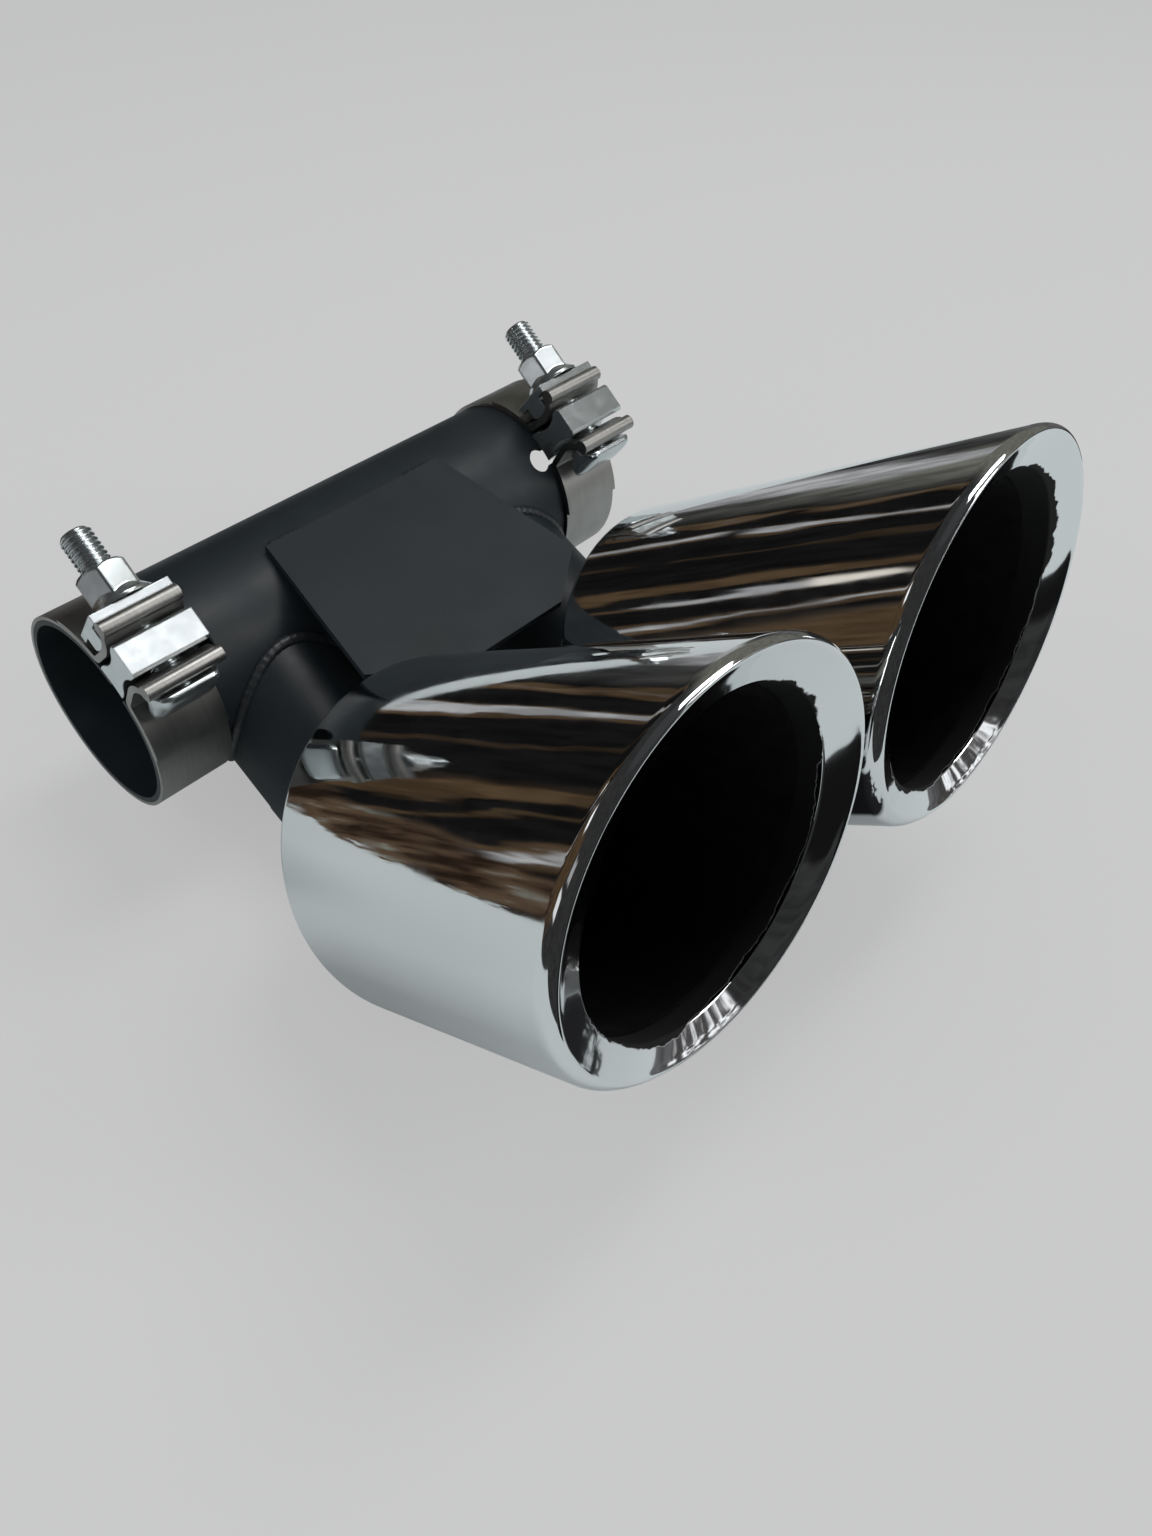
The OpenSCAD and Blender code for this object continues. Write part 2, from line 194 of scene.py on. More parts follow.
def black_coating():
    m = material("satin black coating", (0.02, 0.022, 0.025), 0.46)
    cloud = noise(m, 28, 4)
    colour_by(m, spread(m, cloud, 0, 1), (0.0118, 0.016, 0.019), (0.0158, 0.0218, 0.026))
    rough_by(m, spread(m, noise(m, 60, 5), 0.4, 0.56))
    fine = bump(m, noise(m, 1400, 2), 0.16, 0.0002)
    bump(m, noise(m, 90, 2), 0.08, 0.0008, fine)
    m.node_tree.nodes["Principled BSDF"].inputs["Specular IOR Level"].default_value = 0.32
    return m


def weld_coating():
    m = material("coated weld", (0.03, 0.032, 0.036), 0.4)
    colour_by(m, spread(m, noise(m, 260, 4), 0, 1), (0.012, 0.015, 0.0175), (0.022, 0.026, 0.03))
    bump(m, noise(m, 700, 3), 0.4, 0.0005)
    return m


def chrome():
    m = material("mirror chrome", (0.82, 0.84, 0.845), 0.045, 1.0)
    rough_by(m, spread(m, noise(m, 120, 2), 0.025, 0.075))
    bump(m, noise(m, 34, 1.5, 0.4), 0.06, 0.0016)
    return m


def lip_chrome():
    """Chrome that ends in a ragged edge of matt black paint where the lip turns in."""
    m = material("lip chrome and inner paint", (0.82, 0.84, 0.845), 0.05, 1.0)
    b = m.node_tree.nodes["Principled BSDF"]
    where = node(m, "ShaderNodeAttribute", attribute_name="inward")
    ragged = spread(m, noise(m, 70, 5, 0.6), -0.13, 0.13)
    inward = calc(m.node_tree, "ADD", where.outputs["Fac"], ragged)
    paint = spread(m, inward, 0, 1, 1.1, 1.125)
    colour_by(m, paint, (0.82, 0.84, 0.845), (0.006, 0.006, 0.0065))
    link(m, spread(m, paint, 0.05, 0.9, 0, 1), b.inputs["Roughness"])
    link(m, spread(m, paint, 1, 0, 0, 1), b.inputs["Metallic"])
    bump(m, noise(m, 60, 2, 0.4), 0.1, 0.0014)
    return m


def inner_black():
    m = material("matt inner black", (0.005, 0.005, 0.0055), 0.95)
    colour_by(m, spread(m, noise(m, 140, 5), 0, 1), (0.004, 0.004, 0.0045), (0.008, 0.008, 0.0085))
    m.node_tree.nodes["Principled BSDF"].inputs["Specular IOR Level"].default_value = 0.15
    bump(m, noise(m, 900, 3), 0.3, 0.0004)
    return m


def bare_steel():
    """Brushed strip of the clamp bands, the lines run round the tube."""
    m = material("brushed stainless", (0.35, 0.335, 0.31), 0.42, 1.0)
    lines = noise(m, 1, 3, 0.6, stretch=(2600, 60, 60))
    colour_by(m, spread(m, lines, 0, 1), (0.33, 0.325, 0.31), (0.4, 0.394, 0.378))
    rough_by(m, spread(m, noise(m, 90, 4), 0.34, 0.48))
    bump(m, lines, 0.08, 0.0002)
    return m


def zinc():
    m = material("bright zinc", (0.62, 0.66, 0.67), 0.22, 0.95)
    colour_by(m, spread(m, noise(m, 160, 3), 0, 1), (0.6, 0.64, 0.65), (0.66, 0.7, 0.71))
    rough_by(m, spread(m, noise(m, 240, 2), 0.18, 0.25))
    bump(m, noise(m, 330, 2), 0.03, 0.0003, soft_edges(m, 0.0005))
    return m


BLACK, WELD, CHROME, LIP, INNER, STEEL, ZINC = (
    black_coating(),
    weld_coating(),
    chrome(),
    lip_chrome(),
    inner_black(),
    bare_steel(),
    zinc(),
)


def dress(name, m):
    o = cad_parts[name]
    o.data.materials.clear()
    o.data.materials.append(m)
    return o


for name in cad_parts:
    if "tip_shell" in name:
        dress(name, CHROME)
    elif "tip_sleeve" in name:
        dress(name, INNER)
    elif "clamp_band" in name:
        dress(name, STEEL)
    elif "weld" in name:
        dress(name, WELD)
    elif any(k in name for k in ("spacer_block", "clamp_saddle", "tee_bolt", "flange_nut")):
        dress(name, ZINC)
    else:
        dress(name, BLACK)


# ---------------------------------------------------------------- added pieces
def piece(name, verts, faces, mats, which=None, flat=False):
    me = bpy.data.meshes.new(name)
    me.from_pydata([tuple(v) for v in verts], [], faces)
    for m in mats:
        me.materials.append(m)
    if which:
        me.polygons.foreach_set("material_index", which)
    me.polygons.foreach_set("use_smooth", [not flat] * len(me.polygons))
    me.validate()
    me.update()
    o = bpy.data.objects.new(name, me)
    scene.collection.objects.link(o)
    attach(o, "root")
    return o


def wrap(rows, cols, close_rows=False):
    """Quads of a grid whose columns close into rings."""
    faces = []
    for i in range(rows if close_rows else rows - 1):
        for j in range(cols):
            a, b = i * cols + j, i * cols + (j + 1) % cols
            k = (i + 1) % rows
            faces.append((a, b, k * cols + (j + 1) % cols, k * cols + j))
    return faces


def tip_at(side, u, v, t):
    g = math.radians(side * TIP_SPLAY)
    x, y, v = u * TIP_FIT, -t, v * TIP_FIT
    return rest(
        (
            side * TIP_OFFSET + x * math.cos(g) - y * math.sin(g),
            -TIP_FORWARD + x * math.sin(g) + y * math.cos(g),
            -TIP_DROP + v,
        )
    )


def lip_at(a, g):
    """Point of the solid's half round lip, at angle a round the tip and g over the roll."""
    ra, rb, h = FRONT_A, FRONT_B, HOLE_R
    x = ((ra + h) / 2 + (ra - h) / 2 * math.cos(g)) * math.cos(a)
    y = ((rb + h) / 2 + (rb - h) / 2 * math.cos(g)) * math.sin(a)
    return (x, y, TIP_LENGTH + SLASH_RISE * y - (LIP_DEPTH - LIP_DEPTH * math.sin(g)))


def funnel_at(a, u):
    """The dressed lip: a roll to its crest, then a straight funnel into the mouth."""
    crest = math.radians(CREST_ANGLE)
    if u <= ROLL_SHARE:
        return lip_at(a, crest * u / ROLL_SHARE)
    p, q = lip_at(a, crest), lip_at(a, math.pi)
    f = (u - ROLL_SHARE) / (1 - ROLL_SHARE)
    # a small bow rounds the corner between roll and funnel
    bow = 0.55 * math.exp(-14 * f) * min(1.0, 6 * f)
    x, y, t = (m + (n - m) * f for m, n in zip(p, q))
    return (x, y, t + bow)


def paint_reach(a, side):
    """How far the black paint comes up the funnel: at the upper right, a little at the bottom."""
    share, centre = (0.17, 0.8) if side < 0 else (0.32, 0.42)
    right = math.remainder(a - centre, 2 * math.pi)
    bottom = math.remainder(a - 4.1, 2 * math.pi)
    return share * math.exp(-((right / 0.65) ** 2)) + 0.26 * math.exp(-((bottom / 0.5) ** 2))


def tip_section(a, side):
    """Section of the sheet at an angle: points, and how far inward over the lip each one lies."""
    ca, sa = math.cos(a), math.sin(a)
    out = [((HOLE_R * ca, HOLE_R * sa, 0), -1)]
    for i in range(11):
        g = math.radians(9 * i)
        r, t = REAR_R - RIM * (1 - math.sin(g)), RIM * (1 - math.cos(g))
        out.append(((r * ca, r * sa, t), -1))
    start, end = (REAR_R * ca, REAR_R * sa, RIM), lip_at(a, 0)
    for f in (0.004, 0.03, 0.15, 0.3, 0.45, 0.6, 0.75, 0.9, 0.97, 0.996):
        out.append((tuple(p + (q - p) * f for p, q in zip(start, end)), -1))
    reach = paint_reach(a, side)
    for i in range(33):
        out.append((funnel_at(a, i / 32), i / 32 + reach * (i / 32) ** 2))
    mouth = TIP_LENGTH + SLASH_RISE * HOLE_R * sa - LIP_DEPTH
    for deep in (0.3, 0.7, 1.2, 1.7, 2.5, 3.5, 5, 7, 9, 11.5):
        out.append(((HOLE_R * ca, HOLE_R * sa, mouth - deep), 1 + reach + deep / LIP_RETURN))
    return out


def tip_piece(side, name):
    steps = 224
    verts, inward = [], []
    for k in range(steps):
        for p, w in tip_section(2 * math.pi * k / steps, side):
            verts.append(tip_at(side, *p))
            inward.append(w)
    rows = len(verts) // steps
    faces, which = [], []
    for k in range(steps):
        n = (k + 1) % steps
        for j in range(rows - 1):
            faces.append((k * rows + j, k * rows + j + 1, n * rows + j + 1, n * rows + j))
            which.append(1 if inward[k * rows + j] >= 0.25 else 0)
    o = piece(name, verts, faces, [CHROME, LIP], which)
    layer = o.data.attributes.new("inward", "FLOAT", "POINT")
    layer.data.foreach_set("value", inward)
    return o


for side, word in ((-1, "left"), (1, "right")):
    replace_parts(tip_piece(side, word + "_tip_polished"), word + "_tip_shell")


def clamp_at(side, p):
    """From the clamp's own frame, where -Y points out at the block and +Z to the nut."""
    q = turn_x(p, -math.radians(CLAMP_ANGLE[side]))
    return rest((q[0] + side * (TUBE_HALF - BAND_WIDTH / 2), q[1], q[2]))


def head_outline(low):
    """Section of the bolt's head as (r, t): its seat is a round trough, its back is a slab."""
    seat_r, half, dip = 7.8, 8.0, 15.31
    out = []
    for i in range(-6, 7):
        a = math.radians(34 * i / 6)
        out.append((BOLT_OFFSET + seat_r * math.sin(a), -(dip - seat_r * math.cos(a))))
    slab, side_step = low + 4.0, seat_r * math.sin(math.radians(34))
    back = [(side_step, slab), (half, slab - 0.9), (half, low + 1.6), (half - 1.8, low)]
    out += [(BOLT_OFFSET + r, t) for r, t in back]
    out += [(BOLT_OFFSET - r, t) for r, t in back[::-1]]
    return out


def soften(points, rounds):
    """Corners of a closed outline cut back again and again until they are round."""
    for _ in range(rounds):
        out = []
        for k, p in enumerate(points):
            q = points[(k + 1) % len(points)]
            out.append((p[0] * 0.75 + q[0] * 0.25, p[1] * 0.75 + q[1] * 0.25))
            out.append((p[0] * 0.25 + q[0] * 0.75, p[1] * 0.25 + q[1] * 0.75))
        points = out
    return points


def lowest(side, cad):
    """Lowest point of a solid along the bolt, in millimetres from the clamp's middle."""
    c = clamp_at(side, (0, -BOLT_OFFSET, 0))
    axis = (clamp_at(side, (0, -BOLT_OFFSET, 1000)) - c).normalized()
    return min((v.co - c).dot(axis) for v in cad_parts[cad].data.vertices) / MM


def threaded_bolt(side, name, cad):
    """A rounded head the size of the solid's, and a helical thread in place of its plain shank."""
    base = lowest(side, cad)
    section = soften(head_outline(base), 3)
    mid_r, mid_t = BOLT_OFFSET, (base - HEAD_SEAT) / 2
    bm = bmesh.new()
    rings = []
    for i in range(33):
        x = -math.cos(math.pi * i / 32) * HEAD_LENGTH / 2
        d = min(HEAD_ROUND, HEAD_LENGTH / 2 - abs(x))
        drop = HEAD_ROUND - math.sqrt(max(0.0, HEAD_ROUND**2 - (HEAD_ROUND - d) ** 2))
        ring = []
        for r, t in section:
            v = Vector((r - mid_r, t - mid_t))
            v *= max(0.02, 1 - drop / max(v.length, 0.5))
            ring.append(bm.verts.new(clamp_at(side, (x, -mid_r - v.x, mid_t + v.y))))
        rings.append(ring)
    for i in range(32):
        for j in range(len(section)):
            n = (j + 1) % len(section)
            bm.faces.new((rings[i][j], rings[i + 1][j], rings[i + 1][n], rings[i][n])).smooth = True
    bm.faces.new(rings[0])
    bm.faces.new(rings[-1][::-1])
    base += THREAD_START
    cols, per_turn = 32, 8
    rows = int((BOLT_REACH - base) / PITCH * per_turn)
    grid = []
    for i in range(rows + 1):
        z = base + (BOLT_REACH - base) * i / rows
        ring = []
        for j in range(cols):
            phase = (z / PITCH - j / cols) % 1.0
            rise = max(0.0, min(1.0, 1.35 - abs(phase - 0.5) * 2.9))
            r = BOLT_R - 0.02 - THREAD_DEPTH * (1 - rise)
            r = min(r, BOLT_R - 1.2 + (BOLT_REACH - z) * 1.0)
            a = 2 * math.pi * j / cols
            p = clamp_at(side, (r * math.cos(a), -BOLT_OFFSET + r * math.sin(a), z))
            ring.append(bm.verts.new(p))
        grid.append(ring)
    for i in range(rows):
        for j in range(cols):
            n = (j + 1) % cols
            f = bm.faces.new((grid[i][j], grid[i][n], grid[i + 1][n], grid[i + 1][j]))
            f.smooth = True
    bm.faces.new(grid[-1])
    me = bpy.data.meshes.new(name)
    bm.to_mesh(me)
    bm.free()
    me.materials.append(ZINC)
    o = bpy.data.objects.new(name, me)
    scene.collection.objects.link(o)
    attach(o, "root")
    return o


for side, word in ((-1, "left"), (1, "right")):
    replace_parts(threaded_bolt(side, word + "_threaded_bolt", word + "_tee_bolt"), word + "_tee_bolt")


def round_nut(side, name, cad):
    """The flange nut with soft corners, seated where the solid's nut has its lowest point."""
    seat = lowest(side, cad)
    flat, tall = NUT_FLATS / 2, NUT_HEIGHT
    # height and least radius: the flange, its cone, then the hexagon alone
    profile = [(0, FLANGE_R - 0.3), (0.1, FLANGE_R - 0.1), (0.3, FLANGE_R)]
    profile += [(0.9, FLANGE_R), (1.1, FLANGE_R - 0.1), (1.3, FLANGE_R - 0.35)]
    profile += [(1.4 + 0.2 * i, FLANGE_R - 0.4 - 0.2 * i) for i in range(1, 12)]
    profile += [(4.0, 0), (5.5, 0), (7.0, 0), (8.5, 0), (9.6, 0)]
    profile += [(tall - NUT_CONE * (1 - i / 8), 0) for i in range(8)]
    profile += [(tall - 0.1, 0), (tall, 0)]
    cols, rows = 192, len(profile) + 2
    verts = []
    for i in range(rows):
        h, ring_r = profile[min(i, len(profile) - 1)]
        for j in range(cols):
            a = 2 * math.pi * j / cols
            total = sum(abs(math.cos(a + math.pi / 6 - k * math.pi / 3)) ** 44 for k in range(3))
            hexagon = flat / total ** (1 / 44)
            top = flat / math.cos(math.pi / 6) - max(0.0, h - (tall - NUT_CONE)) * 1.03
            r = max(ring_r, min(hexagon, top))
            if i == rows - 2:
                r = flat - NUT_CONE / 2 - 0.4
            if i == rows - 1:
                r = BOLT_R + 0.1
            b = a + math.radians(NUT_TURN[side])
            p = (r * math.cos(b), -BOLT_OFFSET + r * math.sin(b), seat + h)
            verts.append(clamp_at(side, p))
    return piece(name, verts, wrap(rows, cols), [ZINC])


for side, word in ((-1, "left"), (1, "right")):
    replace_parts(round_nut(side, word + "_soft_nut", word + "_flange_nut"), word + "_flange_nut")


def bead(name, middle, out, radius, ripple, closed, squash=1.0):
    """Weld bead along a list of points, with the overlapping ripples of a weld."""
    count, cols = len(middle), 12
    verts = []
    for i, (c, o) in enumerate(zip(middle, out)):
        before = middle[i - 1] if (i or closed) else middle[i]
        after = middle[(i + 1) % count] if (i < count - 1 or closed) else middle[i]
        along = (after - before).normalized()
        side_way = along.cross(o).normalized()
        ends = 1.0 if closed else min(1.0, math.sqrt(max(0.0, min(i, count - 1 - i) / 6.0)) + 0.02)
        r = radius * ends * (1 + 0.16 * abs(math.sin(i * ripple)) - 0.08)
        for j in range(cols):
            a = 2 * math.pi * j / cols
            verts.append(c + (side_way * math.cos(a) + o * (math.sin(a) * squash)) * r)
    faces = wrap(count, cols, closed)
    if not closed:
        faces += [tuple(range(cols))[::-1], tuple((count - 1) * cols + j for j in range(cols))]
    return piece(name, [rest(v) for v in verts], faces, [WELD])


def branch_bead(side, name):
    """Weld bead along the line where the leg of a branch pipe meets the cross tube."""
    run = TIP_FORWARD / math.cos(math.radians(BRANCH_SPLAY))
    drop = math.radians(DROP_ANGLE)
    bend_y = run - TIP_DROP / math.tan(drop) - BEND_R * math.tan(drop / 2)
    leg = Vector((0, bend_y + BEND_R * math.sin(drop), BEND_R * (1 - math.cos(drop))))
    way = Vector((0, math.cos(drop), math.sin(drop)))
    up = Vector((0, -math.sin(drop), math.cos(drop)))
    g = math.radians(side * BRANCH_SPLAY)
    spin = Matrix.Rotation(g, 3, "Z")
    foot = Vector((side * TIP_OFFSET, -TIP_FORWARD, -TIP_DROP))
    middle, out = [], []
    count = 220
    for k in range(count):
        a = 2 * math.pi * k / count
        radial = spin @ (Vector((1, 0, 0)) * math.cos(a) + up * math.sin(a))
        p = spin @ leg + foot + radial * BRANCH_R
        w = spin @ way
        # nearest crossing with the cross tube
        qa = w.y * w.y + w.z * w.z
        qb = 2 * (p.y * w.y + p.z * w.z)
        qc = p.y * p.y + p.z * p.z - (TUBE_R + 0.6) ** 2
        root = math.sqrt(max(0.0, qb * qb - 4 * qa * qc))
        at = p + w * ((-qb - root) / (2 * qa))
        middle.append(at)
        out.append((Vector((0, at.y, at.z)).normalized() + radial).normalized())
    return bead(name, middle, out, 1.75, 0.9, True, 0.8)


for side, word in ((-1, "left"), (1, "right")):
    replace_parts(branch_bead(side, word + "_weld_bead"), word + "_branch_weld")


def stitch(side, name):
    """A short weld at the upper edge of the gusset plate."""
    middle, out = [], []
    slope = math.radians(PLATE_SLOPE)
    for i in range(40):
        x = side * (PLATE_HALF - 14.5 + 14 * i / 39)
        middle.append(turn_x((x, 0.7, TUBE_R + 0.9), slope))
        out.append(turn_x((0, 0.3, 1), slope).normalized())
    return bead(name, middle, out, 1.5, 0.62, False, 0.7)


for side, word in ((-1, "left"), (1, "right")):
    stitch(side, word + "_plate_stitch")


# ---------------------------------------------------------------- stage, lamps and camera
GREY = 0.604
floor_z = cad_box[0].z - 0.0002
me = bpy.data.meshes.new("floor")
corners = [(-3, -3, floor_z), (3, -3, floor_z), (3, 3, floor_z), (-3, 3, floor_z)]
me.from_pydata(corners, [], [(0, 1, 2, 3)])
floor = bpy.data.objects.new("floor", me)
scene.collection.objects.link(floor)
fm = bpy.data.materials.new("pale floor")
fm.use_nodes = True
fb = fm.node_tree.nodes["Principled BSDF"]
fb.inputs["Roughness"].default_value = 0.9
fb.inputs["Specular IOR Level"].default_value = 0.2


def fmath(kind, *values):
    return calc(fm.node_tree, kind, *values)


# the pale board on the floor that mirror rays see, with a ragged far edge
BOARD_LEFT, BOARD_RIGHT = -0.36, 0.43
place = node(fm, "ShaderNodeTexCoord")
fxyz = node(fm, "ShaderNodeSeparateXYZ")
link(fm, place.outputs["Object"], fxyz.inputs[0])
fx, fy = fxyz.outputs["X"], fxyz.outputs["Y"]
edge = fmath("MINIMUM", spread(fm, fx, 0.165, 0.56, -0.06, 0.1), spread(fm, fx, 0.62, 0.22, 0, 1))
slant = fmath("ADD", fy, spread(fm, fx, 0.105, 0, -0.27, -0.13))
rag = fmath("ADD", slant, spread(fm, noise(fm, 60, 4, 0.7), -0.02, 0.02))
front = fmath("ADD", spread(fm, fx, -0.285, -0.335, -0.04, 0), spread(fm, fx, 0, -0.1, 0, 0.22))
board = fmath("LESS_THAN", rag, edge)
for kind, value, limit in (
    ("GREATER_THAN", fy, front),
    ("GREATER_THAN", fx, BOARD_LEFT),
    ("LESS_THAN", fx, BOARD_RIGHT),
):
    board = fmath("MULTIPLY", board, fmath(kind, value, limit))
# the dark shade that lies on the board just in front of the mouths
shade = spread(fm, fy, 1, 0, -0.168, -0.162)
shade = fmath("MULTIPLY", shade, spread(fm, rag, 0, 1, -0.252, -0.246))
for lo, hi, start, end in ((0, 1, -0.05, -0.045), (1, 0, 0.025, 0.032)):
    shade = fmath("MULTIPLY", shade, spread(fm, fx, lo, hi, start, end))
ray = node(fm, "ShaderNodeLightPath")
mirrored = node(fm, "ShaderNodeMix", data_type="RGBA")
link(fm, ray.outputs["Is Glossy Ray"], mirrored.inputs["Factor"])
mirrored.inputs["A"].default_value = (GREY, GREY, GREY, 1)
BOARD_PALE, BOARD_SHADE = (0.58, 0.62, 0.62), (0.012, 0.012, 0.013)
link(fm, tint(fm, shade, BOARD_PALE, BOARD_SHADE), mirrored.inputs["B"])
link(fm, mirrored.outputs["Result"], fb.inputs["Base Color"])
even = node(fm, "ShaderNodeEmission")
even.inputs["Color"].default_value = (GREY, GREY, GREY, 1)
# the camera sees the floor mostly evenly lit, with a share of the object's shadow
EVEN_SHARE = 0.7
blend = node(fm, "ShaderNodeMixShader")
link(fm, fmath("MULTIPLY", ray.outputs["Is Camera Ray"], EVEN_SHARE), blend.inputs[0])
link(fm, fb.outputs[0], blend.inputs[1])
link(fm, even.outputs[0], blend.inputs[2])
# off the board, mirror rays pass through the floor and see the room
hidden = fmath("MULTIPLY", ray.outputs["Is Glossy Ray"], fmath("SUBTRACT", 1.0, board))
clear = node(fm, "ShaderNodeBsdfTransparent")
whole = node(fm, "ShaderNodeMixShader")
link(fm, hidden, whole.inputs[0])
link(fm, blend.outputs[0], whole.inputs[1])
link(fm, clear.outputs[0], whole.inputs[2])
link(fm, whole.outputs[0], fm.node_tree.nodes["Material Output"].inputs["Surface"])
me.materials.append(fm)
floor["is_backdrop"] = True

world = scene.world or bpy.data.worlds.new("World")
scene.world = world
world.use_nodes = True
wt = world.node_tree
wt.nodes.clear()


def wmath(kind, *values):
    return calc(wt, kind, *values)


def wstep(value, at, soft):
    """0 below a value and 1 above it, with a soft step."""
    r = wt.nodes.new("ShaderNodeMapRange")
    r.interpolation_type = "SMOOTHSTEP"
    r.inputs["From Min"].default_value = at - soft
    r.inputs["From Max"].default_value = at + soft
    wt.links.new(value, r.inputs["Value"])
    return r.outputs["Result"]


def wmix(factor, a, b):
    n = wt.nodes.new("ShaderNodeMix")
    n.data_type = "RGBA"
    wt.links.new(factor, n.inputs["Factor"])
    for key, v in (("A", a), ("B", b)):
        if isinstance(v, tuple):
            n.inputs[key].default_value = (*v, 1)
        else:
            wt.links.new(v, n.inputs[key])
    return n.outputs["Result"]


sky = wt.nodes.new("ShaderNodeTexCoord")
xyz = wt.nodes.new("ShaderNodeSeparateXYZ")
wt.links.new(sky.outputs["Generated"], xyz.inputs[0])
DEGREES = 180 / math.pi
azimuth = wmath("MULTIPLY", wmath("ARCTAN2", xyz.outputs["X"], xyz.outputs["Y"]), DEGREES)
height = wmath("MULTIPLY", wmath("ARCSINE", xyz.outputs["Z"]), DEGREES)
wave = wt.nodes.new("ShaderNodeTexNoise")
wave.inputs["Scale"].default_value = 6.0
wave.inputs["Detail"].default_value = 3.0
wt.links.new(sky.outputs["Generated"], wave.inputs["Vector"])
wobble = wmath("MULTIPLY", wmath("SUBTRACT", wave.outputs["Fac"], 0.5), 11.0)
azimuth = wmath("ADD", azimuth, wobble)
height = wmath("ADD", height, wmath("MULTIPLY", wobble, 0.6))
around = wmath("DIVIDE", wmath("ADD", azimuth, 180.0), 360.0)


def patch(a0, a1, h0, h1, soft=1.5):
    """Mask of a field of the room, by compass angle from +Y to +X and by height, in degrees."""
    spans = []
    for value, low, high in ((azimuth, a0, a1), (height, h0, h1)):
        above = wstep(value, low, soft)
        spans.append(wmath("MULTIPLY", above, wmath("SUBTRACT", 1.0, wstep(value, high, soft))))
    return wmath("MULTIPLY", *spans)


def grey(v):
    return (v, v, v * 1.02)


# plain colours of the room
GAP, DIM, HAZE, PALE, LAMP = grey(0.007), grey(0.03), grey(0.11), grey(0.35), grey(1.1)
BROWN, WOOD, PANEL = (0.025, 0.015, 0.01), (0.07, 0.045, 0.025), (0.14, 0.14, 0.12)
CEILING, DAYLIGHT = (0.045, 0.047, 0.05), (0.42, 0.43, 0.44)

fine = wt.nodes.new("ShaderNodeTexNoise")
fine.inputs["Scale"].default_value = 17.0
fine.inputs["Detail"].default_value = 4.0
fine.inputs["Roughness"].default_value = 0.65
wt.links.new(sky.outputs["Generated"], fine.inputs["Vector"])
timber = wmix(wstep(fine.outputs["Fac"], 0.5, 0.07), BROWN, (0.075, 0.048, 0.03))
timber = wmix(wstep(fine.outputs["Fac"], 0.64, 0.02), timber, PANEL)
streaks = wt.nodes.new("ShaderNodeTexNoise")
streaks.noise_dimensions = "1D"
streaks.inputs["Scale"].default_value = 45.0
streaks.inputs["Detail"].default_value = 2.0
wt.links.new(around, streaks.inputs["W"])
rack = wmix(wstep(streaks.outputs["Fac"], 0.56, 0.04), GAP, WOOD)
rack = wmix(wstep(streaks.outputs["Fac"], 0.66, 0.02), rack, PALE)
# an invented room: angles from and to, heights from and to, soft edge, colour
room = wt.nodes.new("ShaderNodeRGB").outputs[0]
room.default_value = (*DIM, 1)
for a0, a1, h0, h1, soft, colour in (
    (-70, -30, -12, 25, 4, WOOD),  # timber wall
    (-30, 30, -91, 30, 3, rack),  # dark rack
    (-60, -10, -91, -12, 1, timber),  # boards at the foot of both
    (35, 125, 0, 62, 10, PANEL),  # plain panel
    (60, 150, -91, 0, 5, HAZE),  # foot of the panel
    (40, 50, -91, 5, 2, PALE),  # pale door
    (130, 140, 25, 62, 2, LAMP),  # first window
    (150, 155, 0, 62, 2, LAMP),  # second window
):
    room = wmix(patch(a0, a1, h0, h1, soft), room, colour)
# light and dark ripples over the whole room
ripple = wt.nodes.new("ShaderNodeMix")
ripple.data_type = "RGBA"
ripple.blend_type = "MULTIPLY"
ripple.inputs["Factor"].default_value = 1.0
wt.links.new(room, ripple.inputs["A"])
uneven = wmix(wstep(fine.outputs["Fac"], 0.5, 0.14), (0.68, 0.68, 0.68), (1.3, 1.3, 1.3))
wt.links.new(uneven, ripple.inputs["B"])
room = ripple.outputs["Result"]
lights = wmix(wstep(fine.outputs["Fac"], 0.53, 0.03), (0.06, 0.055, 0.055), LAMP)
room = wmix(patch(126, 160, -3, 24, 1.5), room, lights)
room = wmix(wstep(height, 62, 6), room, CEILING)
# two dark fields, then small bright ones that give the chrome and the zinc their highlights
for a0, a1, h0, h1, soft, colour in (
    (4, 27, 8, 10, 0.8, GAP),
    (96, 181, -91, -14, 2, GAP),
    (141.4, 153, 51, 65, 0.7, grey(2.4)),
    (-84, -67, -5, 4.5, 1, grey(0.75)),
    (-94, -77, 12, 22, 1.5, PALE),
    (114.2, 119, 40, 48, 0.8, PALE),
    (-15.5, -14.2, 7, 19, 0.5, PALE),
    (-16.5, -13.5, 15, 19, 0.8, (0.8, 0.74, 0.66)),
    (-46, -36, 20, 26, 1.5, LAMP),
):
    room = wmix(patch(a0, a1, h0, h1, soft), room, colour)
world.cycles.sampling_method = "NONE"
path = wt.nodes.new("ShaderNodeLightPath")
seen = wmath("MAXIMUM", path.outputs["Is Camera Ray"], path.outputs["Is Transmission Ray"])
plain = wmix(seen, DAYLIGHT, (GREY, GREY, GREY))
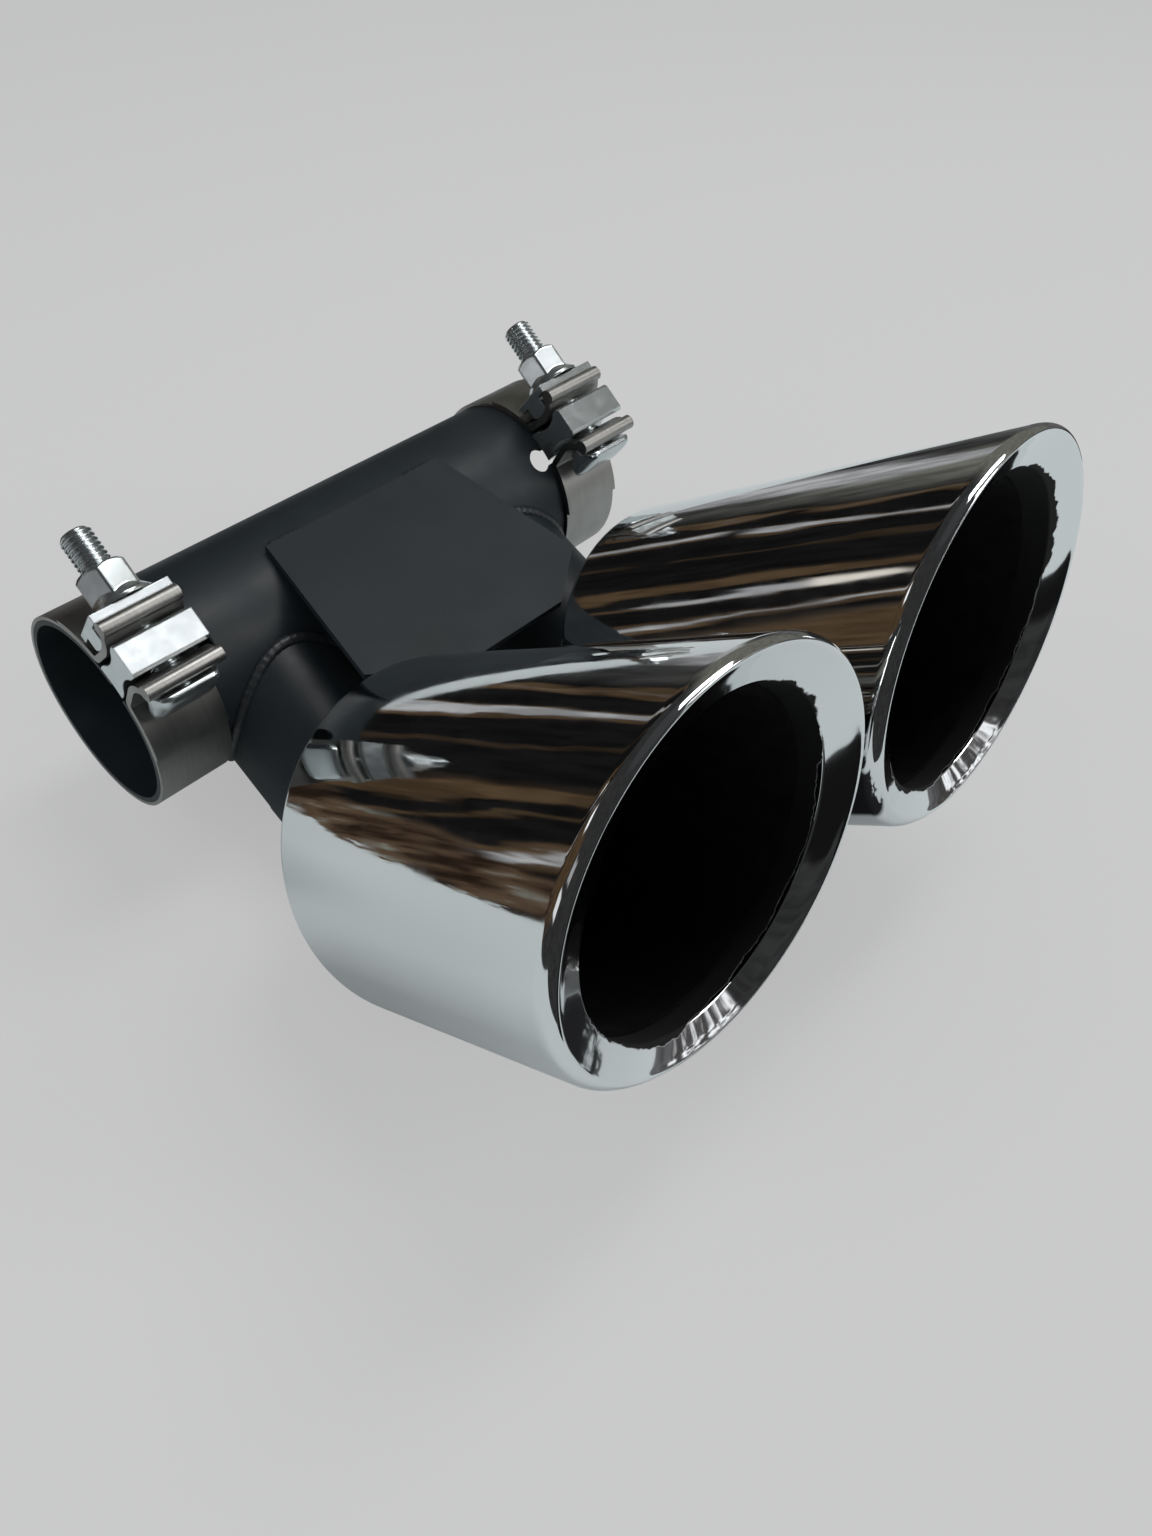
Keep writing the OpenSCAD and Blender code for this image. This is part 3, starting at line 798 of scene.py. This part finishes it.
bg = wt.nodes.new("ShaderNodeBackground")
wo = wt.nodes.new("ShaderNodeOutputWorld")
wt.links.new(wmix(path.outputs["Is Glossy Ray"], plain, room), bg.inputs["Color"])
wt.links.new(bg.outputs[0], wo.inputs["Surface"])


def lamp(name, place, aim, size, power):
    data = bpy.data.lights.new(name, "AREA")
    data.shape = "RECTANGLE"
    data.size, data.size_y = size
    data.energy = power
    o = bpy.data.objects.new(name, data)
    scene.collection.objects.link(o)
    o.location = place
    o.rotation_mode = "QUATERNION"
    o.rotation_quaternion = (Vector(aim) - Vector(place)).to_track_quat("-Z", "Y")
    return o


lamp("ceiling", (0.54, -0.15, 1.39), (0, -0.06, 0), (0.45, 0.9), 8)
lamp("window", (0.73, -1.17, 0.85), (0, -0.06, 0), (0.4, 0.7), 5)
fill = lamp("fill", (-1.0, 0.2, 0.9), (0, -0.06, 0), (0.8, 0.8), 4)
fill.visible_glossy = False

cam_data = bpy.data.cameras.new("camera")
cam = bpy.data.objects.new("camera", cam_data)
scene.collection.objects.link(cam)
scene.camera = cam
# azimuth, height and roll in degrees, and place in millimetres, as fitted in the install frame
CAMERA_TURN, CAMERA_PLACE, LENS = (-33.57, 19.12, -24.89), (-202.85, -382.58, 48.94), 28.415
az, el, roll = (math.radians(v) for v in CAMERA_TURN)
right0 = Vector((math.cos(az), math.sin(az), 0))
back = Vector((math.sin(az) * math.cos(el), -math.cos(az) * math.cos(el), math.sin(el)))
up0 = back.cross(right0)
right = right0 * math.cos(roll) + up0 * math.sin(roll)
up = up0 * math.cos(roll) - right0 * math.sin(roll)
axes = [turn_x(v, -TILT) for v in (right, up, back)]
where = rest(CAMERA_PLACE)
cam.matrix_world = Matrix(
    [[axes[0][i], axes[1][i], axes[2][i], where[i]] for i in range(3)] + [[0, 0, 0, 1]]
)
cam_data.sensor_fit = "VERTICAL"
cam_data.sensor_height = 36
cam_data.lens = LENS
cam_data.clip_start, cam_data.clip_end = 0.01, 20

scene.view_settings.view_transform = "Standard"

lo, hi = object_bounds()
